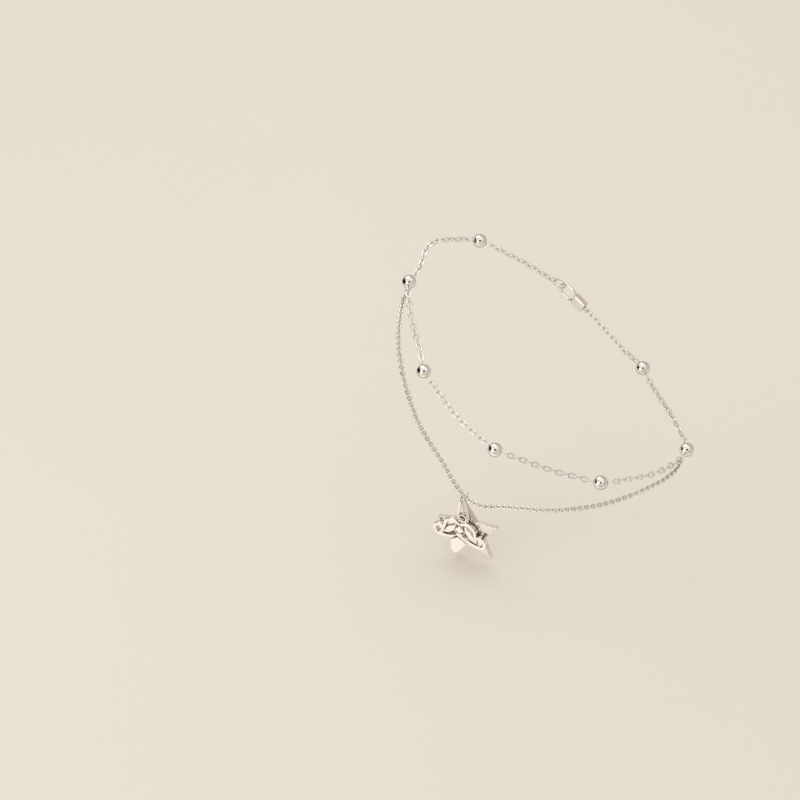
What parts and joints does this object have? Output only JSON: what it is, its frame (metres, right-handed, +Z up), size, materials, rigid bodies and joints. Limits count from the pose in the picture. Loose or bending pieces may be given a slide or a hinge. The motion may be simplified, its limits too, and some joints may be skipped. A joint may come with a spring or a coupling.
{
  "type": "charm anklet",
  "caption": "Silver anklet worn round an ankle: a cable chain with round balls, a finer lower chain, and a star with a scroll charm.",
  "frame": {"origin": "middle of the worn loop, on the ankle's axis", "axes": "+Z up the leg, -X towards the toes and +X towards the heel, -Y the outer side where the charms hang"},
  "size_m": [0.0886, 0.0629, 0.0697],
  "materials": {
    "chain_silver": "polished silver",
    "ball_silver": "mirror polished silver",
    "charm_silver": "cast silver, polished on the raised parts"
  },
  "bodies": {
    "root": {"cable_chain": "chain_silver", "ball_1": "ball_silver", "ball_2": "ball_silver", "ball_3": "ball_silver", "ball_4": "ball_silver", "ball_5": "ball_silver", "ball_6": "ball_silver", "ball_7": "ball_silver", "fine_chain": "chain_silver", "charm_ring": "chain_silver", "star_charm": "charm_silver", "scroll_charm": "charm_silver", "clasp": "chain_silver", "clasp_ring": "chain_silver"}
  },
  "joints": []
}
